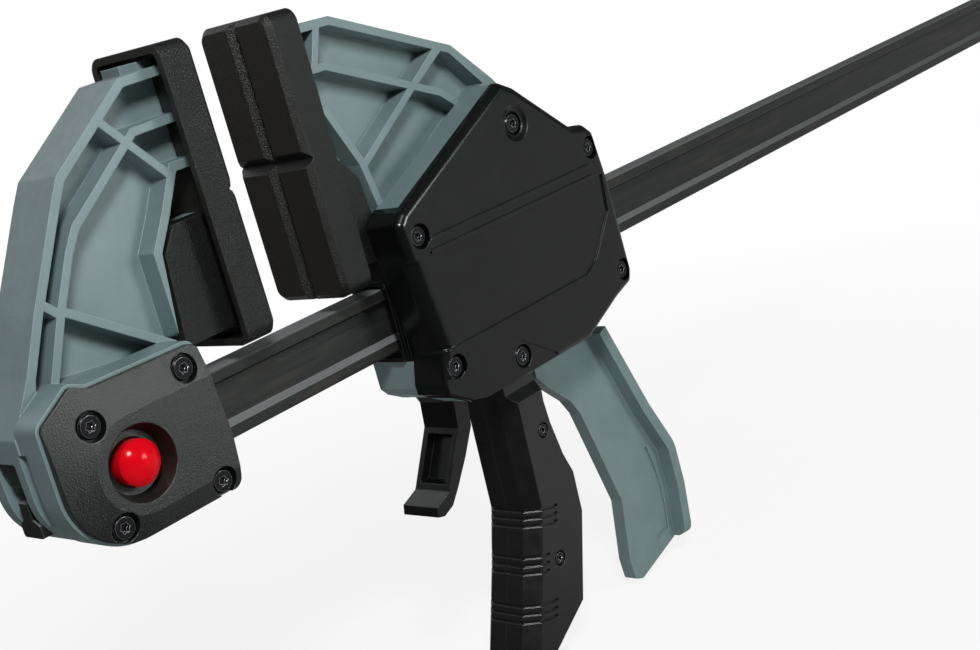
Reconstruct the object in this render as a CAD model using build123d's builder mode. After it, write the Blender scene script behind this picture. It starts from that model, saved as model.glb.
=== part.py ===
from build123d import *
import os
from math import atan2, cos, degrees, pi, radians, sin, tan

# Quick release bar clamp. Origin: centre of the fixed jaw's clamping face.
# +X runs along the bar to its free end, +Z up through the jaws, and the covers
# face -Y. All sizes in millimetres.

os.makedirs("parts", exist_ok=True)

# ---------------------------------------------------------------- driving sizes
opening = 28.5            # between the pads as modelled
max_opening = 610.0       # the largest opening
throat_depth = 95.0       # bar's top edge to the top of the pads

bar_height = 22.0
bar_width = 10.0
bar_web = 4.5
bar_flange = 3.8          # flange thickness at its edge
bar_flange_slope = 1.5    # the flange's inner face rises this much towards the web
bar_corner = 0.8
bar_inset = 1.0           # bar end inside the fixed jaw's end window
bar_spare = 19.0          # bar left past the head at the largest opening
bar_slide = 0.3           # clearance around the bar in what slides on it
bar_seat = 0.15           # clearance around the bar in the fixed jaw

pad_height = 90.0
pad_width = 35.0
pad_thickness = 11.8
pad_corner = 4.5
pad_chamfer = 1.8
pad_rim = 2.4             # wall around the tray in the pad's back
pad_tray = 5.6            # depth of that tray
groove_depth = 2.6        # the crossed vee grooves, as wide each side as deep
skirt_half = 9.6          # half thickness of the pad's lower block
skirt_floor = 1.6

body_thickness = 20.0     # both castings
rim = 3.0                 # rims and ribs of the jaws at their foot
web = 5.0                 # thickness between opposite pockets
pocket_draft = 2.0        # degrees
pocket_least = 2.4        # no pocket is narrower than this
nose_height = 30.0        # the jaw end that enters the pad's tray
tongue_length = 11.3      # raised tongue on top of that end
tongue_height = 2.2
tongue_half = 4.5
boss_depth = 11.0         # height of the cover bosses above the castings' faces
heel_radius = 19.0        # fixed jaw's rounded lower corner at the bar's end
cover_thickness = 4.4
rear_cover_thickness = 2.7
wall = 5.0                # walls of the head around its mechanism
fit = 0.1                 # clearance between pieces of one body
gap = 0.3                 # clearance between pieces that move past each other
pin_fit = 0.05            # radial running clearance of pins

button_radius = 6.5
button_dome = 3.2
button_travel = 5.2
plunger_radius = 3.9
plunger_neck = 2.2
recess_radius = 10.8
plateau_radius = 14.0     # flat part of the fixed jaw's cover around the recess
slope_rise = 3.4          # the cover falls away from that plateau by this much
slope_reach = 17.0        # over this distance

cover_screw_head = 3.5
cover_screw_shank = 1.6
cover_screw_length = 10.0
grip_screw_head = 2.6
screw_head_height = 1.8

window_left = 37.0        # moving jaw's face to the window for the mechanism
trigger_set = 11.5        # that window's front to the trigger's pivot
lever_set = 53.0          # trigger's pivot to the lever's pivot
window_rest = 19.5        # lever's pivot to the window's rear

lever_web = 5.6
lever_corner = 1.5
lever_flange_width = 18.0
lever_flange = 4.6
lever_arm = 9.0           # pivot to the nose that pushes the drive plates
lever_nose = 2.4
lever_pin = 3.0
lever_boss = 5.0
lever_groove = 0.9        # depth of the hooked groove on each side of the web

trigger_width = 16.6
trigger_wall = 2.2
trigger_pin = 2.0
trigger_boss = 4.8

slot_half = 6.5           # half width of the slots for lever and trigger
plate_width = 15.0
plate_tail = 8.0
drive_plate = 2.5
drive_plate_count = 3
brake_plate = 4.0
brake_tilt = 3.0          # degrees from square, when locked

grip_width = 25.4
neck_width = 20.0
grip_chamfer = 5.1
groove_width = 1.2
grip_groove = 0.8
groove_pitch = 2.65
groove_fall = 14.0        # degrees, the grip's grooves fall away to the back
tang_width = 8.0

# ---------------------------------------------------------------- worked out
bar_top = pad_height / 2 - throat_depth
bar_bottom = bar_top - bar_height
bar_middle = bar_top - bar_height / 2
core = body_thickness / 2
boss_face = core + boss_depth
cover_face = boss_face + cover_thickness
jaw_top = pad_height / 2 - 5.8
nose = pad_thickness - pad_tray
nose_bottom = jaw_top - nose_height
fixed_length = 87.0
trigger_x = window_left + trigger_set
lever_x = trigger_x + lever_set
window_right = lever_x + window_rest
head_length = window_right + wall + 4.8
bar_start = -fixed_length + bar_inset
bar_end = max_opening + head_length + bar_spare
lever_pivot = (opening + lever_x, bar_bottom - 14.5)
trigger_pivot = (opening + trigger_x, bar_bottom - 7.0)


def side_plane(y):
    """Plane of the side profiles at depth y: local x is +X, local y is +Z, normal -Y."""
    return Plane.XZ.offset(-y)


def behind(points):
    """Places given as (distance behind the fixed jaw's face, height)."""
    return [(-distance, height) for distance, height in points]


def ahead(points):
    """Places given as (distance behind the moving jaw's face, height)."""
    return [(opening + distance, height) for distance, height in points]


def hung(origin, points):
    """Places given as (distance behind an origin, drop below it)."""
    return [(origin[0] + distance, origin[1] - drop) for distance, drop in points]


def outline(points, radius, mode=Mode.ADD):
    """A closed line of points with rounded corners, as a face of the current sketch."""
    with BuildLine() as loop:
        FilletPolyline(*points, radius=radius, close=True)
    make_face(loop.edges(), mode=mode)


def band(points, width, mode=Mode.ADD):
    """A strip of one width along a line of points, mitred at its bends."""
    places = [Vector(*point) for point in points]
    normals = [(end - start).normalized().rotate(Axis.Z, 90) for start, end in zip(places, places[1:])]
    edge = []
    for before, place, after in zip([normals[0]] + normals, places, normals + [normals[-1]]):
        middle = (before + after).normalized()
        edge.append((place, middle * (width / 2 / middle.dot(before))))
    near = [place + step for place, step in edge]
    far = [place - step for place, step in edge]
    Polygon(*near, *reversed(far), align=None, mode=mode)


def star(radius, depth_ratio=0.72, points=6):
    """Corner points of a six-lobed driver socket."""
    corners = []
    for i in range(2 * points):
        reach = radius if i % 2 == 0 else radius * depth_ratio
        corners.append((reach * cos(pi * i / points), reach * sin(pi * i / points)))
    return corners


def screws(places, seat, head, shank, length):
    """Pan head screws driven along +Y, their heads seated at depth seat."""
    with BuildPart() as group:
        with BuildSketch(side_plane(seat)):
            with Locations(*places):
                Circle(head)
        extrude(amount=screw_head_height)
        chamfer(group.faces().sort_by(Axis.Y)[: len(places)].edges(), 0.5)
        with BuildSketch(side_plane(seat + length)):
            with Locations(*places):
                Circle(shank)
        extrude(amount=length)
        with BuildSketch(side_plane(seat - screw_head_height)):
            with Locations(*places):
                Polygon(*star(head * 0.48), align=None)
        extrude(amount=-screw_head_height * 0.75, mode=Mode.SUBTRACT)
    return group.part


def coil(radius, wire, length, turns, steps=12):
    """Compression spring along +Z from the origin, of square wire bent in short straight steps."""
    with BuildPart() as spring:
        for i in range(turns * steps + 1):
            angle = 2 * pi * i / steps
            height = wire / 2 + (length - wire) * i / (turns * steps)
            section = Plane(origin=(radius * cos(angle), radius * sin(angle), height),
                            x_dir=(cos(angle), sin(angle), 0), z_dir=(-sin(angle), cos(angle), 0))
            with BuildSketch(section):
                Rectangle(wire, wire)
        loft(ruled=True)
    return spring.part


# ---------------------------------------------------------------- bar
button_at = (-fixed_length + 24.7, bar_middle + 1.7)
stop_pin = 2.5
stop_x = bar_end - 8.0

with BuildPart() as bar:
    with BuildSketch(Plane.YZ.offset(bar_start)):
        with Locations((0, bar_middle)):
            RectangleRounded(bar_width, bar_height, bar_corner)
            for side in (-1, 1):
                edge = bar_height / 2 - bar_flange
                root = edge - bar_flange_slope
                Polygon(
                    (side * bar_width / 2, edge),
                    (side * bar_web / 2, root),
                    (side * bar_web / 2, -root),
                    (side * bar_width / 2, -edge),
                    align=None,
                    mode=Mode.SUBTRACT,
                )
    extrude(amount=bar_end - bar_start)
    # keyhole that the button's plunger locks in, open to the bar's end
    with BuildSketch(side_plane(bar_width / 2)):
        with Locations(button_at):
            Circle(plunger_radius + fit)
        band([(bar_start - plunger_neck, button_at[1]), button_at], 2 * (plunger_neck + gap))
        with Locations((stop_x, bar_middle)):
            Circle(stop_pin)
    extrude(amount=bar_width, mode=Mode.SUBTRACT)
bar.part.label = "bar"

with BuildPart() as bar_stop_pin:
    with BuildSketch(side_plane(0)):
        with Locations((stop_x, bar_middle)):
            Circle(stop_pin - 0.02)
            Circle(stop_pin - 0.9, mode=Mode.SUBTRACT)
    extrude(amount=bar_width / 2 + 3.5, both=True)
bar_stop_pin.part.label = "bar_stop_pin"

# ---------------------------------------------------------------- jaw pads
with BuildPart() as fixed_jaw_pad:
    with BuildSketch(Plane.YZ.offset(-pad_thickness)):
        RectangleRounded(pad_width, pad_height, pad_corner)
    extrude(amount=pad_thickness)
    chamfer(fixed_jaw_pad.faces().sort_by(Axis.X)[-1].edges(), pad_chamfer)
    with BuildSketch(Plane.XY.offset(-pad_height / 2)):
        Polygon((0, -groove_depth), (0, groove_depth), (-groove_depth, 0), align=None)
    extrude(amount=pad_height, mode=Mode.SUBTRACT)
    with BuildSketch(side_plane(pad_width / 2)):
        Polygon((0, -groove_depth), (0, groove_depth), (-groove_depth, 0), align=None)
    extrude(amount=pad_width, mode=Mode.SUBTRACT)
    with BuildSketch(Plane.YZ.offset(-pad_thickness)):
        RectangleRounded(pad_width - 2 * pad_rim, pad_height - 2 * pad_rim, pad_corner - pad_rim)
    extrude(amount=pad_tray, mode=Mode.SUBTRACT)
    # block behind the lower half, slotted for the jaw's web
    skirt_top = nose_bottom - 14
    skirt_bottom = -pad_height / 2 + 5.5
    with BuildSketch(side_plane(skirt_half)):
        outline(
            behind([(nose, skirt_top), (19.4, skirt_top), (25.1, nose_bottom - 21.5),
                    (27.6, skirt_bottom), (nose, skirt_bottom)]),
            0.6,
        )
    extrude(amount=2 * skirt_half)
    with BuildSketch(side_plane(web / 2 + fit)):
        Polygon(
            *behind([(nose, 0), (nose, skirt_bottom + skirt_floor), (30, skirt_bottom + skirt_floor),
                     (30, 0)]),
            align=None,
        )
    extrude(amount=web + 2 * fit, mode=Mode.SUBTRACT)
fixed_jaw_pad.part.label = "fixed_jaw_pad"

moving_jaw_pad = mirror(fixed_jaw_pad.part, about=Plane.YZ.offset(opening / 2))
moving_jaw_pad.label = "moving_jaw_pad"

# ---------------------------------------------------------------- fixed jaw
housing_bottom = bar_bottom - 7.0
fixed_rim = [
    (nose, nose_bottom), (nose, jaw_top), (22.5, jaw_top - 0.7), (50.5, jaw_top - 20.8),
    (54, jaw_top - 26.2), (70, bar_top + 36), (78, bar_top + 21),
]
fixed_front = [
    (29.3, bar_top + 14.3), (26.2, nose_bottom - 20.7), (19.9, nose_bottom - 11.4), (13.1, nose_bottom),
]
fixed_end = [(fixed_length, bar_top + 7), (fixed_length, housing_bottom)]
fixed_foot = [(36, housing_bottom), (33.5, housing_bottom + 3), (33.5, bar_top + 12.5)]
fixed_body = fixed_rim + fixed_end + fixed_foot + fixed_front
fixed_corners = [0.9] * (len(fixed_rim) + 1) + [heel_radius] + [0.9] * len(fixed_foot + fixed_front)
fixed_cover_outline = behind([
    (74, bar_top + 17.2), (69, bar_top + 15), (34, bar_top + 14.6), (32.6, bar_bottom + 8),
    (34, housing_bottom), (fixed_length - 0.9, housing_bottom), (fixed_length - 1.4, bar_top + 10),
])
fixed_cover_corners = [2, 3, 2.5, 20, 3, heel_radius, 3]
fixed_screw_places = behind([
    (40.5, bar_top + 9.3), (72.9, bar_top + 5.7), (39.6, housing_bottom + 3.8), (73, housing_bottom + 5.6),
])
cup_floor = boss_face - 1.0         # the ring around the button, inside the recess
cup_back = cup_floor - 1.0
well_floor = 11.5                   # the button spring's seat
plunger_end = bar_web / 2 + 0.3

with BuildPart() as fixed_pockets:
    with BuildSketch(side_plane(-web / 2)):
        # the cells run out through the nose, open towards the pad
        pocket_nose = [(nose - rim - 1, nose_bottom), (nose - rim - 1, jaw_top)]
        pocket_foot = [(80.5, bar_top + 14.5), (26.5, bar_top + 9)]
        Polygon(*behind(pocket_nose + fixed_rim[2:] + pocket_foot + fixed_front[1:]), align=None)
        offset(amount=-rim, kind=Kind.INTERSECTION)
        mid_rib = [(0, nose_bottom + 14.9), (23, nose_bottom + 14.1), (50, nose_bottom - 5.5),
                   (54.4, nose_bottom - 11.7), (62.4, bar_top + 33.3), (73, bar_top + 12)]
        band(behind(mid_rib), rim, mode=Mode.SUBTRACT)
        band(behind([(36, jaw_top - 6.5), (12, nose_bottom - 4.7)]), rim, mode=Mode.SUBTRACT)
        band(behind([(68, bar_top + 39), (62.7, bar_top + 33.4)]), rim, mode=Mode.SUBTRACT)
        band(behind([(62.4, bar_top + 34.4), (24, bar_top + 7.85)]), rim, mode=Mode.SUBTRACT)
        offset(amount=-pocket_least / 2, kind=Kind.INTERSECTION, mode=Mode.REPLACE)
        offset(amount=pocket_least / 2, kind=Kind.INTERSECTION, mode=Mode.REPLACE)
    extrude(amount=core - web / 2 + fit, taper=-pocket_draft)
    mirror(about=Plane.XZ)

with BuildPart() as fixed_jaw:
    with BuildSketch(side_plane(core)):
        outline(behind(fixed_body), fixed_corners)
    extrude(amount=body_thickness)
    add(fixed_pockets.part, mode=Mode.SUBTRACT)
    # web that the pad's slotted block slides over, and the tongue on the nose
    with BuildSketch(side_plane(web / 2)):
        Polygon(
            *behind([(nose, skirt_top), (nose, skirt_bottom + skirt_floor + fit),
                     (33, skirt_bottom + skirt_floor + fit), (28, skirt_top)]),
            align=None,
        )
    extrude(amount=web)
    with BuildSketch(side_plane(tongue_half)):
        with Locations((-nose, jaw_top + tongue_height)):
            Rectangle(tongue_length, tongue_height + 1, align=(Align.MAX, Align.MAX))
    extrude(amount=2 * tongue_half)
    # boss for the cover
    with BuildSketch(side_plane(-core)):
        outline(fixed_cover_outline, fixed_cover_corners)
        offset(amount=0.9)
    extrude(amount=boss_depth)
    # channel for the bar, open in the end window
    with BuildSketch(Plane.YZ.offset(-fixed_length - 5)):
        with Locations((0, bar_middle)):
            Rectangle(bar_width + 2 * bar_seat, bar_height + 2 * bar_seat)
    extrude(amount=fixed_length, mode=Mode.SUBTRACT)
    # parting groove between body and boss at the end
    with BuildSketch(side_plane(-core + 1)):
        with Locations((-fixed_length - 1, bar_middle)):
            Rectangle(6, 28)
    extrude(amount=3.3, mode=Mode.SUBTRACT)
    # button well, plunger bore and screw holes
    with BuildSketch(side_plane(-boss_face)):
        with Locations(button_at):
            Circle(recess_radius + 1.8)
    extrude(amount=-(boss_face - cup_back + fit), mode=Mode.SUBTRACT)
    with BuildSketch(side_plane(-boss_face)):
        with Locations(button_at):
            Circle(button_radius + 2.7)
    extrude(amount=-(boss_face - well_floor), mode=Mode.SUBTRACT)
    with BuildSketch(side_plane(-boss_face)):
        with Locations(button_at):
            Circle(plunger_radius + pin_fit)
    extrude(amount=-(boss_face + plunger_end + button_travel + gap), mode=Mode.SUBTRACT)
    with BuildSketch(side_plane(-boss_face)):
        with Locations(*fixed_screw_places):
            Circle(cover_screw_shank + pin_fit)
    extrude(amount=-cover_screw_length + 1, mode=Mode.SUBTRACT)
fixed_jaw.part.label = "fixed_jaw"

# ---------------------------------------------------------------- fixed jaw's cover
cover_screw_seat = boss_face + 1.4
slope_foot = cover_face - slope_rise
recess_floor = button_radius + 2.4
recess_flare = degrees(atan2(recess_radius - recess_floor, cover_face - cup_floor))

with BuildPart() as cover_slopes:
    # the slopes round the button's end are conical, those above and below it flat
    with Locations(Plane(origin=(button_at[0], -slope_foot, button_at[1]), z_dir=(0, -1, 0))):
        Cone(plateau_radius + slope_reach, plateau_radius, slope_rise,
             align=(Align.CENTER, Align.CENTER, Align.MIN))
    with BuildSketch(Plane.YZ.offset(button_at[0])):
        with Locations((0, button_at[1])):
            Polygon(
                (-slope_foot, -plateau_radius - slope_reach), (-cover_face, -plateau_radius),
                (-cover_face, plateau_radius), (-slope_foot, plateau_radius + slope_reach), align=None,
            )
    extrude(amount=fixed_length / 2)
    with BuildSketch(side_plane(-slope_foot)):
        outline(fixed_cover_outline, fixed_cover_corners)
    extrude(amount=slope_rise, mode=Mode.INTERSECT)

with BuildPart() as button_cover:
    with BuildSketch(side_plane(-boss_face)):
        outline(fixed_cover_outline, fixed_cover_corners)
    extrude(amount=slope_foot - boss_face)
    add(cover_slopes.part)
    # cup that the button stands in, flared towards the face
    with BuildSketch(side_plane(-boss_face)):
        with Locations(button_at):
            Circle(recess_radius + 1.6)
    extrude(amount=-(boss_face - cup_back))
    with BuildSketch(side_plane(-cup_floor)):
        with Locations(button_at):
            Circle(recess_floor)
    extrude(amount=cover_face - cup_floor, taper=-recess_flare, mode=Mode.SUBTRACT)
    with BuildSketch(side_plane(-cup_back)):
        with Locations(button_at):
            Circle(button_radius + gap)
    extrude(amount=cover_thickness, mode=Mode.SUBTRACT)
    with BuildSketch(side_plane(-boss_face)):
        with Locations(*fixed_screw_places):
            Circle(cover_screw_shank + gap)
    extrude(amount=cover_thickness, mode=Mode.SUBTRACT)
    with BuildSketch(side_plane(-cover_screw_seat)):
        with Locations(*fixed_screw_places):
            Circle(cover_screw_head + 0.7)
    extrude(amount=cover_thickness, mode=Mode.SUBTRACT)
button_cover.part.label = "button_cover"

button_cover_screws = screws(
    fixed_screw_places, -cover_screw_seat, cover_screw_head, cover_screw_shank, cover_screw_length
)
button_cover_screws.label = "button_cover_screws"

# ---------------------------------------------------------------- release button
flange_front = cup_back - gap
flange_back = flange_front - 1.5
cap_front = cover_face + 1.6
cap_bore = 5.3
cap_roof = cap_front - button_dome + 0.2
dome_radius = (button_radius**2 + button_dome**2) / (2 * button_dome)

with BuildPart() as release_button:
    with BuildSketch(side_plane(-flange_back)):
        with Locations(button_at):
            Circle(button_radius)
    extrude(amount=cap_front - flange_back)
    with Locations((button_at[0], dome_radius - cap_front, button_at[1])):
        Sphere(dome_radius, mode=Mode.INTERSECT)
    with BuildSketch(side_plane(-flange_back)):
        with Locations(button_at):
            Circle(button_radius + 2.3)
    extrude(amount=flange_front - flange_back)
    with BuildSketch(side_plane(-flange_back)):
        with Locations(button_at):
            Circle(cap_bore)
    extrude(amount=cap_roof - flange_back, mode=Mode.SUBTRACT)
release_button.part.label = "release_button"

with BuildPart() as locking_plunger:
    with BuildSketch(side_plane(plunger_end)):
        with Locations(button_at):
            Circle(plunger_radius)
    extrude(amount=cap_roof + plunger_end)
    neck_start = plunger_end - bar_web - 0.6
    with BuildSketch(side_plane(neck_start)):
        with Locations(button_at):
            Circle(plunger_radius)
            Circle(plunger_neck, mode=Mode.SUBTRACT)
    extrude(amount=bar_web + 0.6, mode=Mode.SUBTRACT)
locking_plunger.part.label = "locking_plunger"

spring_wire = 0.8
button_spring = coil(plunger_radius + 0.7, spring_wire, cap_roof - well_floor - 0.2, 5)
button_spring = Pos(button_at[0], -well_floor - 0.1, button_at[1]) * Rot(90, 0, 0) * button_spring
button_spring.label = "button_spring"

# ---------------------------------------------------------------- head casting
head_bottom = bar_bottom - 20.5
cover_bottom = bar_bottom - 23.4
moving_rim = [
    (nose, nose_bottom), (nose, jaw_top), (31, jaw_top), (81.9, jaw_top - 20.6), (98, jaw_top - 36),
]
moving_front = [
    (31.5, bar_top + 16), (30.6, bar_top + 21), (26.9, nose_bottom - 17.7), (18.5, nose_bottom + 0.8),
]
window_top = bar_top + 13.0
window_bottom = bar_bottom - 4.0
guide_front = 25.5
guide_back = 31.0
head_body = moving_rim + [
    (head_length - 12.8, jaw_top - 60), (head_length - 2.8, bar_top + 24), (head_length - 1, bar_top + 6),
    (head_length, bar_bottom - 7.6), (head_length - 2.8, bar_bottom - 13),
    (head_length - 11.8, bar_bottom - 15.5), (head_length - 26.8, head_bottom), (34, head_bottom),
    (28, bar_bottom - 17), (guide_front, bar_bottom - 14), (guide_front, window_bottom),
    (guide_back, window_bottom), (guide_back, bar_top + 13),
] + moving_front
cover_edge_foot = (26.6, bar_bottom - 0.9)
cover_edge_head = (21.5, bar_top + 21.5)
head_cover_outline = ahead([
    (84.8, jaw_top - 36.2), (91.6, jaw_top - 39.7), (head_length - 14.6, bar_top + 29.2),
    (head_length - 7.2, bar_top + 28), (head_length - 3.1, bar_top + 24.3),
    (head_length - 1, bar_top + 6.2), (head_length, bar_bottom - 7.6),
    (head_length - 1.8, bar_bottom - 12.2), (head_length - 11.5, bar_bottom - 15.1),
    (head_length - 32, cover_bottom - 0.2), (40.7, cover_bottom), (34.5, cover_bottom + 1.5),
    (23.5, bar_bottom - 15.2), (23.4, bar_bottom - 11.7), cover_edge_foot, cover_edge_head,
    (25.1, bar_top + 25),
])
head_cover_corners = [2.5, 4, 2, 3, 3, 6, 2, 2, 6, 2, 4, 3, 1, 2, 6, 2, 2]
head_screw_places = ahead([
    (87, jaw_top - 51.3), (head_length - 7.6, bar_top + 19.4), (29.6, bar_top + 15.5),
    (head_length - 5.3, bar_bottom - 6.2), (30.3, bar_bottom - 7.5), (62.2, bar_bottom - 16.3),
])
skirt_edge = 27.6          # the cover's side wall reaches back to the casting up to here

lever_slot = (lever_x - 18.5, lever_x + 23.5)
trigger_slot = (trigger_x - 15.2, trigger_x + 6.1)
grip_corner = (trigger_pivot[0] + 11.9, head_bottom)
tang_outline = hung(grip_corner, [(4.6, -3), (16.8, -3), (16.8, 50.5), (5.6, 89.5), (-6.4, 89.5), (4.6, 54.5)])
grip_screw_places = hung(grip_corner, [(14, 29.2), (5.3, 76.2)])
rear_screw_places = ahead([
    (35.8, bar_top + 15), (head_length - 11.8, bar_top + 16), (head_length - 8.6, bar_bottom - 8),
    (35.6, bar_bottom - 15),
])

with BuildPart() as head_pockets:
    with BuildSketch(side_plane(-web / 2)):
        foot = [(98, jaw_top - 38), (89.5, jaw_top - 40.6), (33.5, bar_top + 18.4)]
        Polygon(*ahead(pocket_nose + moving_rim[2:-1] + foot + moving_front[1:]), align=None)
        offset(amount=-rim, kind=Kind.INTERSECTION)
        mid_rib = [(0, nose_bottom + 15.4), (24.2, nose_bottom + 15.4), (71.2, nose_bottom - 4.5),
                   (88, nose_bottom - 18)]
        band(ahead(mid_rib), rim, mode=Mode.SUBTRACT)
        band(ahead([(26, jaw_top), (19.9, nose_bottom + 16)]), rim, mode=Mode.SUBTRACT)
        band(ahead([(80, jaw_top - 18), (60.7, nose_bottom + 1.2)]), rim, mode=Mode.SUBTRACT)
        band(ahead([(60.7, nose_bottom + 1.2), (25, nose_bottom - 20.5)]), rim, mode=Mode.SUBTRACT)
        offset(amount=-pocket_least / 2, kind=Kind.INTERSECTION, mode=Mode.REPLACE)
        offset(amount=pocket_least / 2, kind=Kind.INTERSECTION, mode=Mode.REPLACE)
    extrude(amount=core - web / 2 + fit, taper=-pocket_draft)
    mirror(about=Plane.XZ)

with BuildPart() as head_casting:
    with BuildSketch(side_plane(core)):
        Polygon(*ahead(head_body), align=None)
    extrude(amount=body_thickness)
    add(head_pockets.part, mode=Mode.SUBTRACT)
    with BuildSketch(side_plane(web / 2)):
        Polygon(
            *ahead([(nose, skirt_top), (nose, skirt_bottom + skirt_floor + fit),
                    (33, skirt_bottom + skirt_floor + fit), (28, skirt_top)]),
            align=None,
        )
    extrude(amount=web)
    with BuildSketch(side_plane(tongue_half)):
        with Locations((opening + nose, jaw_top + tongue_height)):
            Rectangle(tongue_length, tongue_height + 1, align=(Align.MIN, Align.MAX))
    extrude(amount=2 * tongue_half)
    # boss for the cover, short of the cover's own side wall
    with BuildSketch(side_plane(-core)):
        outline(head_cover_outline, head_cover_corners)
        offset(amount=-fit)
        with Locations((opening + skirt_edge + fit, bar_middle)):
            Rectangle(head_length, 2 * throat_depth, align=(Align.MAX, Align.CENTER), mode=Mode.SUBTRACT)
    extrude(amount=boss_depth)
    # window for the mechanism, open on both faces
    with BuildSketch(side_plane(core)):
        outline(
            ahead([(window_left, window_bottom), (window_right, window_bottom), (window_right, window_top),
                   (window_left, window_top)]),
            2,
        )
    extrude(amount=core + boss_face, mode=Mode.SUBTRACT)
    # passage for the bar through both end walls
    with BuildSketch(Plane.YZ.offset(opening)):
        with Locations((0, bar_middle)):
            Rectangle(bar_width + 4 * bar_slide, bar_height + 4 * bar_slide)
    extrude(amount=head_length + 5, mode=Mode.SUBTRACT)
    with BuildSketch(Plane.YZ.offset(opening + window_right + wall)):
        with Locations((0, bar_middle)):
            Rectangle(bar_width + 7, bar_height + 7)
    extrude(amount=head_length - window_right, mode=Mode.SUBTRACT)
    # slots under the window for trigger and lever
    for low, high in (trigger_slot, lever_slot):
        with BuildSketch(side_plane(slot_half)):
            Polygon(
                *ahead([(low, window_bottom + 1), (high, window_bottom + 1), (high, head_bottom - 1),
                        (low, head_bottom - 1)]),
                align=None,
            )
        extrude(amount=2 * slot_half, mode=Mode.SUBTRACT)
    # tang inside the grip
    with BuildSketch(side_plane(tang_width / 2)):
        Polygon(*tang_outline, align=None)
        with Locations(*grip_screw_places):
            Circle(cover_screw_shank + gap, mode=Mode.SUBTRACT)
    extrude(amount=tang_width)
    # pin bores and screw holes
    for pivot, radius in ((lever_pivot, lever_pin), (trigger_pivot, trigger_pin)):
        with BuildSketch(side_plane(core)):
            with Locations(pivot):
                Circle(radius + 0.02)
        extrude(amount=core + boss_face, mode=Mode.SUBTRACT)
    with BuildSketch(side_plane(-boss_face)):
        with Locations(*head_screw_places):
            Circle(cover_screw_shank + pin_fit)
    extrude(amount=-cover_screw_length + 1, mode=Mode.SUBTRACT)
    with BuildSketch(side_plane(core)):
        with Locations(*rear_screw_places):
            Circle(cover_screw_shank + pin_fit)
    extrude(amount=core - slot_half - 0.6, mode=Mode.SUBTRACT)
head_casting.part.label = "head_casting"

# ---------------------------------------------------------------- bar guides
guide_top = skirt_bottom - gap
guide_bottom = window_bottom + fit

with BuildPart() as front_guide:
    with BuildSketch(Plane.YZ.offset(opening + guide_front)):
        with Locations((0, (guide_top + guide_bottom) / 2)):
            RectangleRounded(body_thickness, guide_top - guide_bottom, 1)
    extrude(amount=guide_back - guide_front - fit)
    with BuildSketch(Plane.YZ.offset(opening + guide_front)):
        with Locations((0, bar_middle - 0.5)):
            RectangleRounded(bar_width + 7, bar_height + 6, 2)
    extrude(amount=-1.4)
    with BuildSketch(Plane.YZ.offset(opening)):
        with Locations((0, bar_middle)):
            Rectangle(bar_width + 2 * bar_slide, bar_height + 2 * bar_slide)
    extrude(amount=guide_back, mode=Mode.SUBTRACT)
    with BuildSketch(Plane.YZ.offset(opening)):
        with Locations((0, bar_middle - 0.5)):
            RectangleRounded(bar_width + 4.2, bar_height + 3.4, 1.2)
    extrude(amount=guide_front + 1.5, mode=Mode.SUBTRACT)
front_guide.part.label = "front_guide"

with BuildPart() as rear_guide:
    with BuildSketch(Plane.YZ.offset(opening + window_right + wall)):
        with Locations((0, bar_middle)):
            RectangleRounded(bar_width + 7 - 2 * fit, bar_height + 7 - 2 * fit, 1)
            Rectangle(bar_width + 2 * bar_slide, bar_height + 2 * bar_slide, mode=Mode.SUBTRACT)
    extrude(amount=3.6)
rear_guide.part.label = "rear_guide"

# ---------------------------------------------------------------- head covers
rib_height = 0.6
rib_width = 1.3
rib_ends = (opening + 32.0, opening + head_length - 10.8)
panel_step = 0.7
panel_top = bar_top + 8.6
panel_bottom = bar_bottom - 1.1
panel_roll = 5.5           # the panel's front end rolls into the side wall
foot_step = 0.9
foot_top = bar_bottom - 10.4
roll = 3.0

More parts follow.
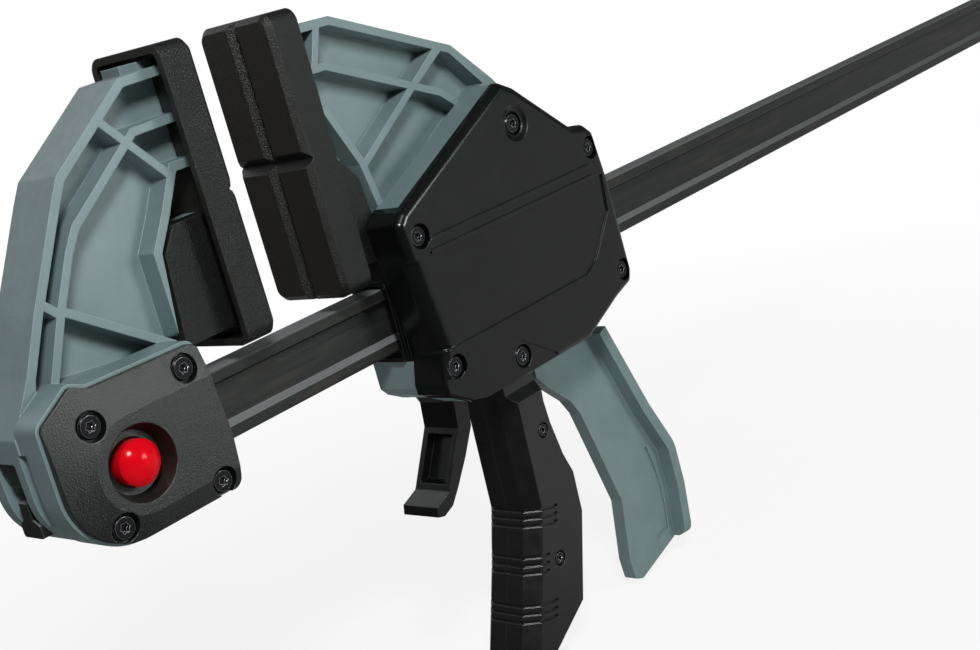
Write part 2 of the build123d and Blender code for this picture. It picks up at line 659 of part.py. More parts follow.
with BuildPart() as head_cover:
    with BuildSketch(side_plane(-boss_face)):
        outline(head_cover_outline, head_cover_corners)
    extrude(amount=cover_thickness)
    fillet(head_cover.faces().sort_by(Axis.Y)[0].edges(), roll)
    # side wall towards the jaws, down to the casting's face
    with BuildSketch(side_plane(-core)):
        outline(head_cover_outline, head_cover_corners)
        with Locations((opening + skirt_edge, bar_middle)):
            Rectangle(head_length, 2 * throat_depth, align=(Align.MIN, Align.CENTER), mode=Mode.SUBTRACT)
    extrude(amount=boss_depth)
    # sunk panel in the middle, open towards the jaws
    with BuildSketch(side_plane(-cover_face)):
        Polygon(
            *ahead([(10, panel_top), (head_length - 4.6, panel_top), (head_length - 6.2, bar_top - 5.3),
                    (head_length - 19.8, bar_bottom + 1.8), (head_length - 25.8, panel_bottom),
                    (10, panel_bottom)]),
            align=None,
        )
    extrude(amount=-panel_step, mode=Mode.SUBTRACT)
    edge_foot, edge_head = (Vector(x, 0, z) for x, z in ahead([cover_edge_foot, cover_edge_head]))
    edge_way = edge_head - edge_foot
    roll_start = edge_foot + edge_way * ((panel_bottom - edge_foot.Z) / edge_way.Z)
    with BuildSketch(Plane.XY.offset(panel_bottom)):
        with Locations((roll_start.X + panel_roll, panel_step + panel_roll - cover_face)):
            Rectangle(2 * panel_roll, 2 * panel_roll, align=(Align.MAX, Align.MAX))
            Circle(panel_roll, mode=Mode.SUBTRACT)
    extrude(amount=(panel_top - panel_bottom) * edge_way.length / edge_way.Z, dir=edge_way,
            mode=Mode.SUBTRACT)
    # sunk foot around the lowest screw
    with BuildSketch(side_plane(-cover_face)):
        Polygon(
            *ahead([(10, foot_top), (62.5, foot_top), (79, cover_bottom + 2), (79, cover_bottom - 9),
                    (10, cover_bottom - 9)]),
            align=None,
        )
    extrude(amount=-foot_step, mode=Mode.SUBTRACT)
    # pair of ribs over the panel
    with BuildSketch(side_plane(-cover_face)):
        for height in (bar_top + 13.4, bar_top + 9.4):
            with Locations(((rib_ends[0] + rib_ends[1]) / 2, height)):
                Rectangle(rib_ends[1] - rib_ends[0], rib_width)
    extrude(amount=rib_height)
    # dish around the top screw
    with BuildSketch(side_plane(-cover_face)):
        with Locations(head_screw_places[0]):
            Circle(6.4)
    extrude(amount=-1, taper=60, mode=Mode.SUBTRACT)
    with BuildSketch(side_plane(-boss_face)):
        with Locations(*head_screw_places):
            Circle(cover_screw_shank + gap)
    extrude(amount=cover_thickness, mode=Mode.SUBTRACT)
    with BuildSketch(side_plane(-cover_screw_seat)):
        with Locations(*head_screw_places):
            Circle(cover_screw_head + 0.7)
    extrude(amount=cover_thickness, mode=Mode.SUBTRACT)
head_cover.part.label = "head_cover"

head_cover_screws = screws(
    head_screw_places, -cover_screw_seat, cover_screw_head, cover_screw_shank, cover_screw_length
)
head_cover_screws.label = "head_cover_screws"

with BuildPart() as rear_cover:
    with BuildSketch(side_plane(core + rear_cover_thickness)):
        outline(
            ahead([(32.2, bar_top + 17.5), (head_length - 20.8, bar_top + 20), (head_length - 8.8, bar_top + 20),
                   (head_length - 4.8, bar_top + 8), (head_length - 4.8, bar_bottom - 9),
                   (head_length - 12.8, bar_bottom - 14), (head_length - 27.8, head_bottom + 1.5),
                   (36, head_bottom + 1.5), (32.2, bar_bottom - 14)]),
            2.5,
        )
    extrude(amount=rear_cover_thickness)
    chamfer(rear_cover.faces().sort_by(Axis.Y)[-1].edges(), 0.8)
    with BuildSketch(side_plane(core + rear_cover_thickness)):
        with Locations(*rear_screw_places):
            Circle(cover_screw_shank + gap)
    extrude(amount=rear_cover_thickness, mode=Mode.SUBTRACT)
rear_cover.part.label = "rear_cover"

rear_cover_screws = Rot(0, 0, 180) * screws(
    [(-x, z) for x, z in rear_screw_places], -core - rear_cover_thickness, cover_screw_head - 0.4,
    cover_screw_shank, 5.0
)
rear_cover_screws.label = "rear_cover_screws"

# ---------------------------------------------------------------- squeeze lever
lever_outer = [(24.8, 14.3), (39.3, 52.8), (49, 73.5), (49.4, 90.6), (47.5, 107.3)]
lever_inner = [
    (17.1, 119.1), (12.9, 117.3), (12.2, 108.6), (16.3, 84.8), (13.7, 74.5), (5.5, 42.5), (1.7, 36),
    (-8.6, 26), (-13, 20.5), (-13, 10.5), (-5, 2.5),
]

with BuildPart() as squeeze_lever:
    # flange that the fingers press, along the outer edge, with a round tip
    with BuildSketch(side_plane(lever_flange_width / 2)):
        with BuildLine() as back:
            FilletPolyline(*hung(lever_pivot, lever_outer + [(46.8, 113)]), radius=14)
        with BuildLine() as loop:
            add(back.line)
            inner = offset(back.line, amount=lever_flange, side=Side.RIGHT, mode=Mode.PRIVATE)
        make_face(inner.edges())
    extrude(amount=lever_flange_width)
    tip = squeeze_lever.faces().sort_by(Axis.Z)[0]
    fillet(tip.edges().filter_by(Axis.Y, reverse=True), lever_flange_width / 4)
    # web between the fingers
    with BuildSketch(side_plane(lever_web / 2)):
        outline(
            hung(lever_pivot, lever_inner + [(5.5, 2.5), (20, 8.5)] + lever_outer + [(42.2, 112.9)]),
            lever_corner,
        )
    extrude(amount=lever_web)
    # pivot boss, arm and nose
    with BuildSketch(side_plane(slot_half - gap)):
        with Locations(lever_pivot):
            Circle(lever_boss)
        with Locations((lever_pivot[0], lever_pivot[1] + lever_arm)):
            Circle(lever_nose)
        band([lever_pivot, (lever_pivot[0], lever_pivot[1] + lever_arm)], 2 * lever_nose - 0.8)
    extrude(amount=2 * (slot_half - gap))
    with BuildSketch(side_plane(core)):
        with Locations(lever_pivot):
            Circle(lever_pin + pin_fit)
    extrude(amount=body_thickness, mode=Mode.SUBTRACT)
    # shallow hooked groove on each side of the web
    for depth in (lever_groove - lever_web / 2, lever_web / 2):
        with BuildSketch(side_plane(depth)):
            with BuildLine() as groove:
                bow = ThreePointArc(*hung(lever_pivot, [(37.3, 71.2), (40.5, 89.5), (38.7, 107.5)]))
                Line(bow @ 1, hung(lever_pivot, [(31, 108.7)])[0])
            trace(groove.line, line_width=2.2)
        extrude(amount=lever_groove, mode=Mode.SUBTRACT)
squeeze_lever.part.label = "squeeze_lever"

with BuildPart() as lever_pivot_pin:
    with BuildSketch(side_plane(core)):
        with Locations(lever_pivot):
            Circle(lever_pin)
    extrude(amount=body_thickness)
lever_pivot_pin.part.label = "lever_pivot_pin"

# ---------------------------------------------------------------- drive plates
plate_top = window_top - 1.5
plate_end = lever_pivot[1] + lever_boss + 0.5
drive_start = lever_pivot[0] + lever_nose + gap

with BuildPart() as drive_plates:
    for i in range(drive_plate_count):
        with BuildSketch(Plane.YZ.offset(drive_start + i * (drive_plate + gap))):
            with Locations((0, (plate_top + window_bottom + gap) / 2)):
                RectangleRounded(plate_width, plate_top - window_bottom - gap, 1.5)
            with Locations((0, (window_bottom + 2 + plate_end) / 2)):
                Rectangle(plate_tail, window_bottom + 2 - plate_end)
            with Locations((0, bar_middle)):
                Rectangle(bar_width + 2 * bar_slide, bar_height + 2 * bar_slide, mode=Mode.SUBTRACT)
        extrude(amount=drive_plate)
drive_plates.part.label = "drive_plates"

drive_end = drive_start + drive_plate_count * drive_plate + (drive_plate_count - 1) * gap
drive_spring_z = (window_top + bar_top) / 2
drive_spring = coil(2.9, spring_wire, opening + window_right - drive_end - 0.2, 4)
drive_spring = Pos(drive_end + 0.1, 0, drive_spring_z) * Rot(0, 90, 0) * drive_spring
drive_spring.label = "drive_spring"

# ---------------------------------------------------------------- brake plate
brake_anchor = (trigger_pivot[0] - 6.5, window_top - brake_plate / 2 - gap)
brake_tail_end = bar_bottom - 14.0
brake_plane = Plane(origin=(brake_anchor[0], 0, brake_anchor[1]), x_dir=(0, 1, 0),
                    z_dir=(cos(radians(brake_tilt)), 0, -sin(radians(brake_tilt))))
tilt_room = brake_plate / 2 * tan(radians(brake_tilt)) + bar_slide
bar_from_anchor = brake_anchor[1] - bar_top
brake_length = (brake_anchor[1] - brake_tail_end) / cos(radians(brake_tilt))
hole_top = -bar_from_anchor + tilt_room
hole_bottom = -(bar_from_anchor + bar_height) / cos(radians(brake_tilt)) - tilt_room

with BuildPart() as brake_lock_plate:
    with BuildSketch(brake_plane):
        Rectangle(plate_width, brake_anchor[1] - window_bottom - 0.4, align=(Align.CENTER, Align.MAX))
        Rectangle(plate_tail, brake_length, align=(Align.CENTER, Align.MAX))
        with Locations((0, (hole_top + hole_bottom) / 2)):
            Rectangle(bar_width + 2 * bar_slide, hole_top - hole_bottom, mode=Mode.SUBTRACT)
    extrude(amount=brake_plate / 2, both=True)
    # round upper end that it rocks on
    with BuildSketch(side_plane(plate_width / 2)):
        with Locations(brake_anchor):
            Circle(brake_plate / 2)
    extrude(amount=plate_width)
brake_lock_plate.part.label = "brake_plate"

# ---------------------------------------------------------------- release trigger
tail_front = -11.3         # the trigger's hook stands just ahead of the brake plate's tail
tail_back = -6.1
notch_floor = trigger_pivot[1] - brake_tail_end + 1.5
trigger_top = [
    (tail_front - 2.7, 4.5), (tail_front, 4.5), (tail_front, notch_floor), (tail_back, notch_floor),
    (tail_back + 1, 2), (4.5, 4), (1, 13.5), (-2.3, 20.4),
]
trigger_back = [(-3.7, 28.1), (-10.2, 37), (-17.6, 45.6), (-22, 50.1)]
trigger_front = [(-22.1, 45), (-10, 26.5), (-8.9, 17.7), (-11, 13.5), (-13.9, 11)]
trigger_lip = [(-26.9, 51.8), (-30.1, 50.9), (-29.3, 47.6)]

with BuildPart() as release_trigger:
    with BuildSketch(side_plane(trigger_width / 2)):
        outline(hung(trigger_pivot, trigger_top + trigger_back + trigger_lip + trigger_front), 0.4)
    extrude(amount=trigger_width)
    # narrow upper end inside the casting's slot
    for side in (-1, 1):
        with BuildSketch(side_plane(side * (slot_half - gap + trigger_width / 2) + trigger_width / 2)):
            with Locations((trigger_pivot[0], head_bottom - 1.2)):
                Rectangle(3 * trigger_width, 3 * trigger_width, align=(Align.CENTER, Align.MIN))
        extrude(amount=trigger_width, mode=Mode.SUBTRACT)
    with BuildSketch(side_plane(slot_half - gap)):
        with Locations(trigger_pivot):
            Circle(trigger_boss)
        Polygon(*hung(trigger_pivot, [(tail_front, notch_floor), (tail_back, notch_floor),
                                      (tail_back, -2 * trigger_boss), (tail_front, -2 * trigger_boss)]),
                align=None, mode=Mode.SUBTRACT)
    extrude(amount=2 * (slot_half - gap))
    with BuildSketch(side_plane(core)):
        with Locations(trigger_pivot):
            Circle(trigger_pin + pin_fit)
    extrude(amount=body_thickness, mode=Mode.SUBTRACT)
    # room for the coil of the return spring
    with BuildSketch(side_plane(3.2)):
        with Locations(trigger_pivot):
            Circle(trigger_boss + 0.3)
    extrude(amount=6.4, mode=Mode.SUBTRACT)
    # finger channel in the front
    with BuildSketch(side_plane(trigger_width / 2 - trigger_wall)):
        Polygon(*hung(trigger_pivot, [(-22, 28.5), (-7.1, 28.5), (-16.5, 43), (-30, 43)]), align=None)
    extrude(amount=trigger_width - 2 * trigger_wall, mode=Mode.SUBTRACT)
release_trigger.part.label = "release_trigger"

with BuildPart() as trigger_pivot_pin:
    with BuildSketch(side_plane(core)):
        with Locations(trigger_pivot):
            Circle(trigger_pin)
    extrude(amount=body_thickness)
trigger_pivot_pin.part.label = "trigger_pivot_pin"

trigger_spring = coil(trigger_pin + 1.2, spring_wire, 6.0, 4)
trigger_spring = Pos(trigger_pivot[0], 3.0, trigger_pivot[1]) * Rot(90, 0, 0) * trigger_spring
trigger_spring.label = "trigger_spring"

# ---------------------------------------------------------------- grip
grip_front = [(0, 0), (0, 14.5), (-2, 54.5), (-9.3, 73.5), (-21.5, 101.5), (-26.8, 114)]
grip_back = [
    (-23.9, 115), (-8.2, 106.6), (11.4, 96.3), (23.1, 65.5), (23.8, 49.9), (21, 41.8), (18.6, 28),
    (18.1, 19.5), (20.1, 0),
]
grip_bands = [(54.3, 13.3), (70.1, 9.0), (86.1, 14.0)]     # drop, and reach of the grooves to the back
fall = radians(groove_fall)


def grip_front_at(drop):
    """The grip's front face at a drop below its corner."""
    for (x0, drop0), (x1, drop1) in zip(grip_front, grip_front[1:]):
        if drop0 <= drop <= drop1:
            return grip_corner[0] + x0 + (x1 - x0) * (drop - drop0) / (drop1 - drop0)
    return grip_corner[0]


with BuildPart() as grip:
    with BuildSketch(side_plane(grip_width / 2)):
        Polygon(*hung(grip_corner, grip_front + grip_back), align=None)
    extrude(amount=grip_width)
    front_edges = grip.edges().filter_by(
        lambda e: abs(abs(e.center().Y) - grip_width / 2) < 0.01
        and abs(e.center().X - grip_front_at(grip_corner[1] - e.center().Z)) < 0.5
    )
    chamfer(front_edges, grip_chamfer)
    # narrower neck under the head
    for side in (-1, 1):
        with BuildSketch(Plane.YZ.offset(grip_corner[0] - grip_width)):
            with Locations((0, grip_corner[1])):
                Polygon(
                    (side * neck_width / 2, 1), (side * neck_width / 2, -11.5),
                    (side * (grip_width / 2 + 1), -16.5), (side * (grip_width / 2 + 1), 1), align=None,
                )
        extrude(amount=3 * grip_width, mode=Mode.SUBTRACT)
    # three bands of three grooves round the front
    for band_drop, reach in grip_bands:
        for i in range(3):
            drop = band_drop + i * groove_pitch
            start = (grip_front_at(drop), 0, grip_corner[1] - drop)
            level = Plane(origin=start, x_dir=(cos(fall), 0, -sin(fall)), z_dir=(sin(fall), 0, cos(fall)))
            with BuildSketch(level.offset(-groove_width / 2)):
                with Locations((reach, 0)):
                    Rectangle(2 * grip_width, 2 * grip_width, align=(Align.MAX, Align.CENTER))
                flat = grip_width / 2 - grip_chamfer
                floor = grip_width / 2 - grip_groove
                Polygon(
                    (grip_groove, -flat), (grip_groove, flat), (grip_chamfer, floor), (reach, floor),
                    (reach, -floor), (grip_chamfer, -floor), align=None, mode=Mode.SUBTRACT,
                )
            extrude(amount=groove_width, mode=Mode.SUBTRACT)
    # cavity around the tang
    with BuildSketch(side_plane(tang_width / 2 + fit)):
        Polygon(*tang_outline, align=None)
        offset(amount=fit, kind=Kind.INTERSECTION)
    extrude(amount=tang_width + 2 * fit, mode=Mode.SUBTRACT)
    # screw holes, with recesses for the heads
    with BuildSketch(side_plane(grip_width / 2 - 2)):
        with Locations(*grip_screw_places):
            Circle(cover_screw_shank + pin_fit)
    extrude(amount=grip_width, mode=Mode.SUBTRACT)
    with BuildSketch(side_plane(-grip_width / 2)):
        with Locations(*grip_screw_places):
            Circle(grip_screw_head + 0.3)
    extrude(amount=-screw_head_height, mode=Mode.SUBTRACT)

with BuildPart() as grip_front_half:
    add(grip.part)
    split(bisect_by=Plane.XZ, keep=Keep.TOP)
grip_front_half.part.label = "grip_front_half"

with BuildPart() as grip_rear_half:
    add(grip.part)
    split(bisect_by=Plane.XZ, keep=Keep.BOTTOM)
grip_rear_half.part.label = "grip_rear_half"

grip_screws = screws(
    grip_screw_places, screw_head_height - grip_width / 2, grip_screw_head, cover_screw_shank,
    grip_width - screw_head_height - 2.2,
)
grip_screws.label = "grip_screws"

# ---------------------------------------------------------------- files
pieces = [
    bar.part, bar_stop_pin.part, fixed_jaw.part, fixed_jaw_pad.part, button_cover.part,
    button_cover_screws, release_button.part, locking_plunger.part, button_spring,
    head_casting.part, moving_jaw_pad, front_guide.part, rear_guide.part, head_cover.part,
    head_cover_screws, rear_cover.part, rear_cover_screws, squeeze_lever.part, lever_pivot_pin.part,
    drive_plates.part, drive_spring, brake_lock_plate.part, release_trigger.part,
    trigger_pivot_pin.part, trigger_spring, grip_front_half.part, grip_rear_half.part, grip_screws,
]
for piece in pieces:
    export_step(piece, f"parts/{piece.label}.step")
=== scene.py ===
"""Looks of a one-handed quick release bar clamp, laid out as an add-on and run as a script.

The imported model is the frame: its pieces stay where they are and get their finishes here.
Everything is in metres, +X along the bar, +Z up through the jaws, the covers facing -Y.
"""

from math import radians

import bmesh
import bpy
from bpy.props import FloatProperty, FloatVectorProperty, PointerProperty
from mathutils import Matrix, Vector


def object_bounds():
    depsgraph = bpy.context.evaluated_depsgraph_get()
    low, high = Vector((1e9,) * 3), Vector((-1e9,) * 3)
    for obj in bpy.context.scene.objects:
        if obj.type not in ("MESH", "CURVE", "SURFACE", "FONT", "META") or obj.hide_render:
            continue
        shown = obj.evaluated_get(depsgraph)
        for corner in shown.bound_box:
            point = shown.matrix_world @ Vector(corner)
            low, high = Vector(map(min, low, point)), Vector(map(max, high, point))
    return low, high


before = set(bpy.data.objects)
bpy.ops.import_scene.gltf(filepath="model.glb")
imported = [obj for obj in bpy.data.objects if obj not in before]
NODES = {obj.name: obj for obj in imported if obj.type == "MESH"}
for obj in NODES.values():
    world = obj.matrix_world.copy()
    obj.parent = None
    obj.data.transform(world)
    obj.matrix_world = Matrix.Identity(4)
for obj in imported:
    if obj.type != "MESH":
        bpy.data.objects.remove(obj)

bl_info = {
    "name": "Quick Release Bar Clamp",
    "version": (1, 0, 0),
    "blender": (4, 5, 0),
    "location": "3D View > Sidebar > Bar Clamp",
    "description": "Finishes of a one-handed bar clamp and the studio that shows it",
    "category": "Object",
}

CAD_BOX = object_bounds()
MM = 0.001


def linear(code):
    """An sRGB hex colour as linear red, green and blue."""
    parts = [int(code[i:i + 2], 16) / 255 for i in (0, 2, 4)]
    return tuple(p / 12.92 if p <= 0.04045 else ((p + 0.055) / 1.055) ** 2.4 for p in parts)


# ------------------------------------------------------------------ values a user would change
def colour_value(name, description, code):
    """A colour that can be picked in the panel, with its default as sRGB hex."""
    return FloatVectorProperty(
        name=name, description=description, subtype="COLOR", size=3, min=0, max=1, default=linear(code))


def length_value(name, description, default):
    """A length that can be set in the panel."""
    return FloatProperty(
        name=name, description=description, subtype="DISTANCE", unit="LENGTH", default=default)


class ClampColours(bpy.types.PropertyGroup):
    """Colours of the clamp's finishes"""

    nylon: colour_value("Nylon", "Grey of the jaws, the housing and the lever", "6e7f81")
    cover: colour_value("Cover", "Black of the head's covers, the guides and the trigger", "090a0a")
    eroded: colour_value("Eroded cover", "Black of the grained cover round the button", "0d100e")
    pad: colour_value("Pad", "Black of the jaw pads", "0b0d0c")
    pad_land: colour_value("Pad land", "Black of the faces that touch the work", "22201c")
    grip: colour_value("Grip", "Black of the pistol grip", "0b0c0b")
    bar: colour_value("Bar", "Blackened steel of the bar", "272928")
    bar_scuff: colour_value("Bar scuffs", "Brown of the bar where it is rubbed", "3f3a34")
    # Painted highlight along the bar's edges and painted light on its faces that look up.
    bar_painted_light: colour_value("Bar edges", "Paler steel along the bar's edges and upward faces", "969b9c")
    oxide: colour_value("Screws", "Black oxide of the screws", "1c1c1e")
    pin: colour_value("Pins", "Turned steel of the pins and the plunger", "b4b4b6")
    plate: colour_value("Plates", "Ground steel of the drive and brake plates", "9a9a9c")
    spring: colour_value("Springs", "Drawn wire of the springs", "a2a2a4")
    button: colour_value("Button", "Red of the release button", "cc0515")


class ClampSizes(bpy.types.PropertyGroup):
    """Sizes of the finishes' patterns"""

    # Real moulded grains are 0.1 to 0.3 mm wide, too fine to show at arm's length, and are drawn coarser.
    nylon_grain: length_value("Nylon grain", "Width of a grain on the grey mouldings", 0.7 * MM)
    cover_grain: length_value("Cover grain", "Width of a grain on the head's covers", 0.7 * MM)
    eroded_grain: length_value("Eroded grain", "Width of a pit of the spark-eroded mould", 0.42 * MM)
    pad_grain: length_value("Pad grain", "Width of a grain on the pads' sides", 0.5 * MM)
    grip_grain: length_value("Grip grain", "Width of a grain on the grip", 0.6 * MM)
    mill_streak: length_value("Mill streak", "Width of the rolling streaks along the bar", 0.5 * MM)
    edge_radius: length_value("Edge radius", "Rounding that catches the light along moulded edges", 0.45 * MM)


# ------------------------------------------------------------------ node helpers
# A Mix node's sockets share their names, so they are told apart by number.
MIX_SHARE = 0
MIX_COLOURS = (6, 7)
MIX_COLOUR_OUT = 2
MIX_VECTORS = (4, 5)
MIX_VECTOR_OUT = 1

NOISE_SPREAD = (0.32, 0.68)         # nearly all of a noise's values lie between these
EDGE_TURN = (0.82, 0.99)            # cosines of the rounded normal's turn: a full edge, and none
BEVEL_RAYS = {"samples": 8}
GROUND_EDGE = 0.1 * MM              # rounding of the mechanism's edges


def add_node(owner, kind, settings=None, links=None):
    """Adds one node to a material or world.

    settings are the node's own values. links give an input, by name or number, a value or a socket to follow.
    """
    node = owner.node_tree.nodes.new(kind)
    for name, value in (settings or {}).items():
        setattr(node, name, value)
    for name, value in (links or {}).items():
        if isinstance(value, bpy.types.NodeSocket):
            owner.node_tree.links.new(value, node.inputs[name])
        else:
            node.inputs[name].default_value = value
    return node


def new_material(name):
    """A material with an empty node tree."""
    material = bpy.data.materials.new(name)
    material.use_nodes = True
    material.node_tree.nodes.clear()
    return material


def in_millimetres(material, stretch=(1, 1, 1)):
    """The surface's place in millimetres. A pattern on it is drawn out along an axis by its stretch."""
    place = add_node(material, "ShaderNodeTexCoord")
    scale = [1 / (MM * times) for times in stretch]
    return add_node(material, "ShaderNodeMapping", links={
        "Vector": place.outputs["Object"], "Scale": scale}).outputs["Vector"]


def spotted(material, place, width, low=0.0, high=1.0, detail=3.0):
    """A value that wanders from low to high over blotches about width millimetres wide."""
    cloud = add_node(material, "ShaderNodeTexNoise", links={
        "Vector": place, "Scale": 1 / width, "Detail": detail})
    return add_node(material, "ShaderNodeMapRange", {"clamp": True}, {
        "Value": cloud.outputs["Fac"], "From Min": NOISE_SPREAD[0], "From Max": NOISE_SPREAD[1],
        "To Min": low, "To Max": high}).outputs["Result"]


def grained(material, place, normal, width, depth):
    """The normal under a grain, its width and depth in millimetres."""
    grain = add_node(material, "ShaderNodeTexNoise", links={
        "Vector": place, "Scale": 1 / width, "Detail": 3.0, "Roughness": 0.6})
    return add_node(material, "ShaderNodeBump", links={
        "Height": grain.outputs["Fac"], "Distance": depth * MM, "Normal": normal}).outputs["Normal"]


def shaded(colour, times=1.0):
    """A colour made that many times as light, as the four numbers that a socket takes."""
    return (*(min(1.0, part * times) for part in colour[:3]), 1.0)


def rounded_edges_and_painted_highlight(material, radius, share):
    """The normal rounded over the edges, and how much of a paler colour, a painted highlight, lies there, up
    to share.
    """
    rounded = add_node(material, "ShaderNodeBevel", BEVEL_RAYS, {"Radius": radius})
    flat = add_node(material, "ShaderNodeNewGeometry")
    turn = add_node(material, "ShaderNodeVectorMath", {"operation": "DOT_PRODUCT"}, {
        0: rounded.outputs["Normal"], 1: flat.outputs["True Normal"]})
    edge = add_node(material, "ShaderNodeMapRange", {"clamp": True}, {
        "Value": turn.outputs["Value"], "From Min": EDGE_TURN[0], "From Max": EDGE_TURN[1],
        "To Min": share, "To Max": 0.0})
    return rounded.outputs["Normal"], edge.outputs["Result"]


def coated(material, colour, coats, surface):
    """Ends a material: a colour under coats, each a share and its colour, and the surface's other values."""
    for share, coat in coats:
        mix = add_node(material, "ShaderNodeMix", {"data_type": "RGBA"}, {
            MIX_SHARE: share, MIX_COLOURS[0]: colour, MIX_COLOURS[1]: coat})
        colour = mix.outputs[MIX_COLOUR_OUT]
    shader = add_node(material, "ShaderNodeBsdfPrincipled", links={"Base Color": colour, **surface})
    add_node(material, "ShaderNodeOutputMaterial", links={"Surface": shader.outputs["BSDF"]})
    return material


def dress(names, material):
    """Gives the named CAD nodes one material."""
    for name in names:
        mesh = NODES[name].data
        mesh.materials.clear()
        mesh.materials.append(material)


# ------------------------------------------------------------------ materials
def glass_filled_nylon(colours, sizes):
    """Glass-filled nylon, injection moulded: satin, with a fine even grain, and a painted highlight along its
    edges.
    """
    material = new_material("glass_filled_nylon")
    place = in_millimetres(material)
    normal, edge = rounded_edges_and_painted_highlight(material, sizes.edge_radius, share=0.5)
    coats = [
        (spotted(material, place, width=16), shaded(colours.nylon, times=1.07)),
        # The edges are painted twice as pale, a painted highlight.
        (edge, shaded(colours.nylon, times=2.0)),
    ]
    return coated(material, shaded(colours.nylon, times=0.93), coats, {
        "Roughness": spotted(material, place, width=3, low=0.38, high=0.48),
        "IOR": 1.53,
        "Specular IOR Level": 0.4,
        "Normal": grained(material, place, normal, width=sizes.nylon_grain / MM, depth=0.06),
    })


def satin_cover_plastic(colours, sizes):
    """ABS moulded in a finely etched tool: satin black with soft wide highlights, and a painted highlight
    along its edges.
    """
    material = new_material("satin_abs")
    place = in_millimetres(material)
    normal, edge = rounded_edges_and_painted_highlight(material, sizes.edge_radius, share=0.5)
    # The edges are painted nine times as pale, a painted highlight.
    return coated(material, shaded(colours.cover), [(edge, shaded(colours.cover, times=9.0))], {
        "Roughness": spotted(material, place, width=7, low=0.20, high=0.27),
        "IOR": 1.5,
        "Specular IOR Level": 0.45,
        "Normal": grained(material, place, normal, width=sizes.cover_grain / MM, depth=0.02),
    })


def spark_eroded_plastic(colours, sizes):
    """Black nylon from a spark-eroded mould: a coarse pitted grain that breaks up every highlight."""
    material = new_material("spark_eroded_nylon")
    place = in_millimetres(material)
    normal, edge = rounded_edges_and_painted_highlight(material, sizes.edge_radius, share=0.5)
    # The edges are painted seven times as pale, a painted highlight.
    return coated(material, shaded(colours.eroded), [(edge, shaded(colours.eroded, times=7.0))], {
        "Roughness": spotted(material, place, width=9, low=0.30, high=0.35),
        "IOR": 1.53,
        "Specular IOR Level": 0.8,
        "Normal": grained(material, place, normal, width=sizes.eroded_grain / MM, depth=0.18),
    })


def pad_rubber(colours, sizes):
    """Thermoplastic rubber, moulded: grained sides, and smoother, faintly brown lands that touch the work."""
    material = new_material("moulded_pad_rubber")
    place = in_millimetres(material)
    normal, edge = rounded_edges_and_painted_highlight(material, sizes.edge_radius, share=0.45)
    flat = add_node(material, "ShaderNodeNewGeometry")
    way = add_node(material, "ShaderNodeSeparateXYZ", links={"Vector": flat.outputs["True Normal"]})
    facing = add_node(material, "ShaderNodeMath", {"operation": "ABSOLUTE"}, {0: way.outputs["X"]})
    land = add_node(material, "ShaderNodeMapRange", {"clamp": True}, {
        "Value": facing.outputs["Value"], "From Min": 0.6, "From Max": 0.95}).outputs["Result"]
    side_grain = grained(material, place, normal, width=sizes.pad_grain / MM, depth=0.38)
    land_grain = grained(material, place, normal, width=sizes.pad_grain / MM, depth=0.10)
    grain = add_node(material, "ShaderNodeMix", {"data_type": "VECTOR"}, {
        MIX_SHARE: land, MIX_VECTORS[0]: side_grain, MIX_VECTORS[1]: land_grain})
    coats = [
        (land, shaded(colours.pad_land)),
        # The edges are painted nine times as pale, a painted highlight.
        (edge, shaded(colours.pad, times=9.0)),
    ]
    return coated(material, shaded(colours.pad), coats, {
        "Roughness": spotted(material, place, width=9, low=0.32, high=0.38),
        "IOR": 1.5,
        "Specular IOR Level": 0.5,
        "Normal": grain.outputs[MIX_VECTOR_OUT],
    })


def grip_plastic(colours, sizes):
    """Polypropylene, moulded matt: dull black, with a painted highlight along its edges."""
    material = new_material("matt_polypropylene")
    place = in_millimetres(material)
    normal, edge = rounded_edges_and_painted_highlight(material, sizes.edge_radius, share=0.5)
    # The edges are painted eight times as pale, a painted highlight.
    return coated(material, shaded(colours.grip), [(edge, shaded(colours.grip, times=8.0))], {
        "Roughness": spotted(material, place, width=5, low=0.26, high=0.36),
        "IOR": 1.49,
        "Specular IOR Level": 0.75,
        "Normal": grained(material, place, normal, width=sizes.grip_grain / MM, depth=0.04),
    })


